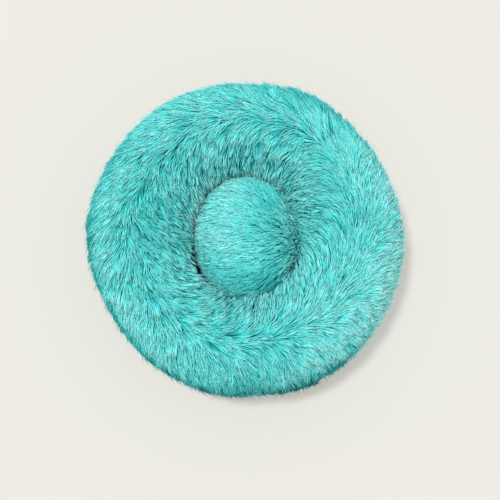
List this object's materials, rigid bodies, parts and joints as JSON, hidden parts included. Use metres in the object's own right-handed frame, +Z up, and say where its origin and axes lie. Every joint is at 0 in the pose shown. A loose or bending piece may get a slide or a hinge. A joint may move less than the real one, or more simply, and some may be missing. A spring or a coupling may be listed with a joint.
{
  "type": "donut pet bed",
  "caption": "Round donut bed for a cat or small dog: a stuffed long-pile plush ring round a puffy centre pad, on a flat woven base with a zip low at the back.",
  "frame": {"origin": "centre of the base's underside, on the floor", "axes": "+Z up, +X to the right and +Y to the back as pictured from above"},
  "size_m": [0.4966, 0.4952, 0.177],
  "materials": {
    "plush": "long soft pile",
    "base_cloth": "coated plain weave",
    "seam_tape": "matt woven tape",
    "liner": "matt nonwoven",
    "fill": "fibre wadding",
    "zip_tape": "matt woven tape",
    "zip_coil": "satin nylon",
    "zip_metal": "plated"
  },
  "bodies": {
    "bed": {"ring_cover_long": "plush", "ring_cover_short": "plush", "bolster_liner": "liner", "bolster_fill": "fill", "liner_end_left": "liner", "liner_end_right": "liner", "centre_top": "plush", "pad_fill": "fill", "centre_seam_tape": "seam_tape", "base_panel": "base_cloth", "rim_seam_tape": "seam_tape", "zip_tape_lower": "zip_tape", "zip_tape_upper": "zip_tape", "zip_coil_lower": "zip_coil", "zip_coil_upper": "zip_coil", "zip_stop_closed": "zip_metal", "zip_stop_open": "zip_metal"},
    "slider": {"zip_slider": "zip_metal"},
    "pull": {"zip_pull": "zip_metal"}
  },
  "joints": [
    {"name": "zip_travel", "type": "hinge", "parent": "bed", "child": "slider", "pos_m": [0, 0, 0], "axis": [0, 0, 1], "range_deg": [0, 103]},
    {"name": "pull_flip", "type": "hinge", "parent": "slider", "child": "pull", "pos_m": [-0.08357, 0.21546, 0.0112], "axis": [-0.1489, 0.384, 0.9112], "range_deg": [-170, 0]}
  ]
}
